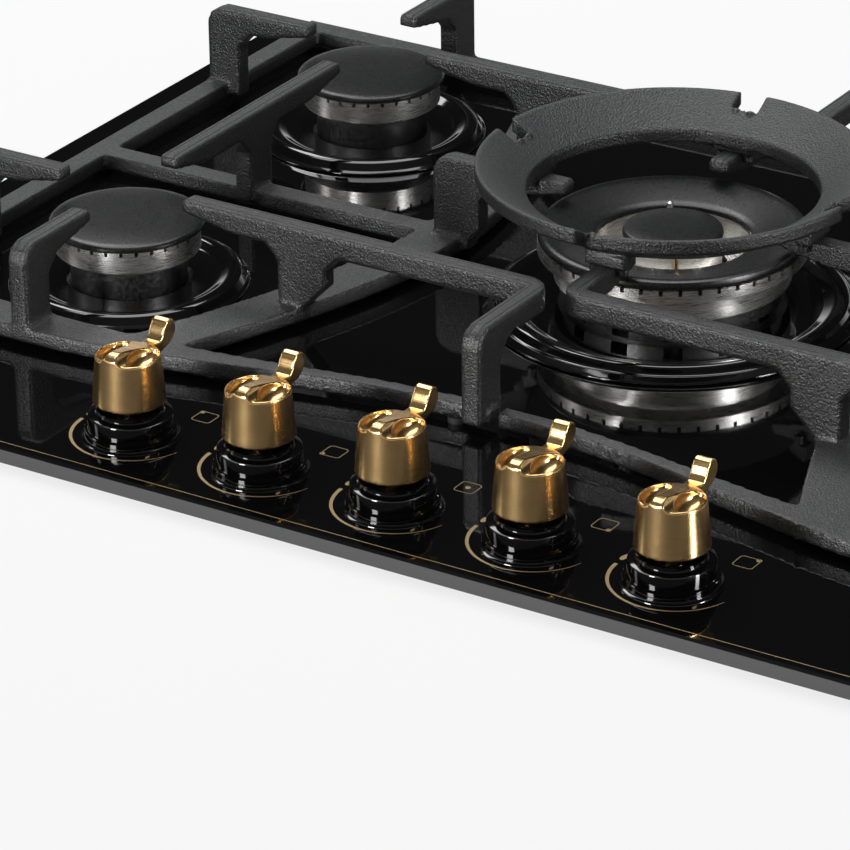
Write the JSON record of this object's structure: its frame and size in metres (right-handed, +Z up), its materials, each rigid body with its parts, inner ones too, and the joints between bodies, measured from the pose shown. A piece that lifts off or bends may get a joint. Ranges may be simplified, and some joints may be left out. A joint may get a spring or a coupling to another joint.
{
  "type": "gas cooktop",
  "caption": "Built-in gas cooktop with a black glass top, side burners round a triple-ring wok burner, lift-off cast-iron grates, a dished wok ring and turning lever knobs.",
  "frame": {"origin": "bottom centre of the whole cooktop, on the underside of the case", "axes": "+X to the user's right, +Y to the back, +Z up"},
  "size_m": [0.75, 0.515, 0.13],
  "materials": {
    "black_glass": "gloss",
    "cast_iron": "matte enamel",
    "cap_enamel": "matte enamel",
    "dish_enamel": "gloss enamel",
    "crown_metal": "turned",
    "cup_metal": "cast",
    "knob_brass": "brushed",
    "bezel_black": "gloss",
    "sheet_steel": "galvanised",
    "rubber": "matte",
    "foam_seal": "matte",
    "valve_metal": "cast",
    "tube_metal": "satin",
    "fitting_brass": "machined",
    "steel": "satin",
    "ceramic_white": "glazed",
    "moulding": "matte",
    "gland_plastic": "matte"
  },
  "bodies": {
    "cooktop": {"glass_panel": "black_glass", "worktop_seal": "foam_seal", "bottom_case": "sheet_steel", "left_burner_rail": "sheet_steel", "centre_burner_rail": "sheet_steel", "right_burner_rail": "sheet_steel", "rail_screws": "steel", "front_left_burner_cup": "cup_metal", "front_left_spill_dish": "dish_enamel", "front_left_burner_crown": "crown_metal", "front_left_burner_cap": "cap_enamel", "back_left_burner_cup": "cup_metal", "back_left_spill_dish": "dish_enamel", "back_left_burner_crown": "crown_metal", "back_left_burner_cap": "cap_enamel", "front_right_burner_cup": "cup_metal", "front_right_spill_dish": "dish_enamel", "front_right_burner_crown": "crown_metal", "front_right_burner_cap": "cap_enamel", "back_right_burner_cup": "cup_metal", "back_right_spill_dish": "dish_enamel", "back_right_burner_crown": "crown_metal", "back_right_burner_cap": "cap_enamel", "wok_burner_cup": "cup_metal", "wok_burner_spill_dish": "dish_enamel", "wok_outer_crown": "crown_metal", "wok_outer_cap": "cap_enamel", "wok_inner_crown": "crown_metal", "wok_inner_cap": "cap_enamel", "spark_electrodes": "ceramic_white", "flame_sensors": "steel", "injectors": "fitting_brass", "knob_bezels": "bezel_black", "valve_bodies": "valve_metal", "gas_manifold": "tube_metal", "gas_tubes": "tube_metal", "gas_inlet_fitting": "fitting_brass", "ignition_module": "moulding", "terminal_block": "moulding", "cable_gland": "gland_plastic"},
    "left_grate": {"left_grate": "cast_iron", "left_grate_feet": "rubber"},
    "right_grate": {"right_grate": "cast_iron", "right_grate_feet": "rubber"},
    "wok_ring": {"wok_ring": "cast_iron"},
    "valve_plug_1": {"valve_plug_1": "fitting_brass"},
    "knob_1": {"knob_1": "knob_brass", "spindle_1": "steel"},
    "valve_plug_2": {"valve_plug_2": "fitting_brass"},
    "knob_2": {"knob_2": "knob_brass", "spindle_2": "steel"},
    "valve_plug_3": {"valve_plug_3": "fitting_brass"},
    "knob_3": {"knob_3": "knob_brass", "spindle_3": "steel"},
    "valve_plug_4": {"valve_plug_4": "fitting_brass"},
    "knob_4": {"knob_4": "knob_brass", "spindle_4": "steel"},
    "valve_plug_5": {"valve_plug_5": "fitting_brass"},
    "knob_5": {"knob_5": "knob_brass", "spindle_5": "steel"}
  },
  "joints": [
    {"name": "left_grate_lift", "type": "slide", "parent": "cooktop", "child": "left_grate", "axis": [0, 0, 1], "range_m": [0, 0.1]},
    {"name": "right_grate_lift", "type": "slide", "parent": "cooktop", "child": "right_grate", "axis": [0, 0, 1], "range_m": [0, 0.1]},
    {"name": "wok_ring_lift", "type": "slide", "parent": "left_grate", "child": "wok_ring", "axis": [0, 0, 1], "range_m": [0, 0.08]},
    {"name": "knob_1_turn", "type": "hinge", "parent": "cooktop", "child": "valve_plug_1", "pos_m": [-0.144, -0.216, 0.054], "axis": [0, 0, 1], "range_deg": [0, 225]},
    {"name": "knob_1_press", "type": "slide", "parent": "valve_plug_1", "child": "knob_1", "axis": [0, 0, -1], "range_m": [0, 0.003], "stiffness_N_per_m": 1000, "springref_m": -0.006},
    {"name": "knob_2_turn", "type": "hinge", "parent": "cooktop", "child": "valve_plug_2", "pos_m": [-0.072, -0.216, 0.054], "axis": [0, 0, 1], "range_deg": [0, 225]},
    {"name": "knob_2_press", "type": "slide", "parent": "valve_plug_2", "child": "knob_2", "axis": [0, 0, -1], "range_m": [0, 0.003], "stiffness_N_per_m": 1000, "springref_m": -0.006},
    {"name": "knob_3_turn", "type": "hinge", "parent": "cooktop", "child": "valve_plug_3", "pos_m": [0, -0.216, 0.054], "axis": [0, 0, 1], "range_deg": [0, 225]},
    {"name": "knob_3_press", "type": "slide", "parent": "valve_plug_3", "child": "knob_3", "axis": [0, 0, -1], "range_m": [0, 0.003], "stiffness_N_per_m": 1000, "springref_m": -0.006},
    {"name": "knob_4_turn", "type": "hinge", "parent": "cooktop", "child": "valve_plug_4", "pos_m": [0.072, -0.216, 0.054], "axis": [0, 0, 1], "range_deg": [0, 225]},
    {"name": "knob_4_press", "type": "slide", "parent": "valve_plug_4", "child": "knob_4", "axis": [0, 0, -1], "range_m": [0, 0.003], "stiffness_N_per_m": 1000, "springref_m": -0.006},
    {"name": "knob_5_turn", "type": "hinge", "parent": "cooktop", "child": "valve_plug_5", "pos_m": [0.144, -0.216, 0.054], "axis": [0, 0, 1], "range_deg": [0, 225]},
    {"name": "knob_5_press", "type": "slide", "parent": "valve_plug_5", "child": "knob_5", "axis": [0, 0, -1], "range_m": [0, 0.003], "stiffness_N_per_m": 1000, "springref_m": -0.006}
  ],
  "couplings": [
    {"joint": "right_grate_lift", "follows": "left_grate_lift", "ratio": 1}
  ]
}
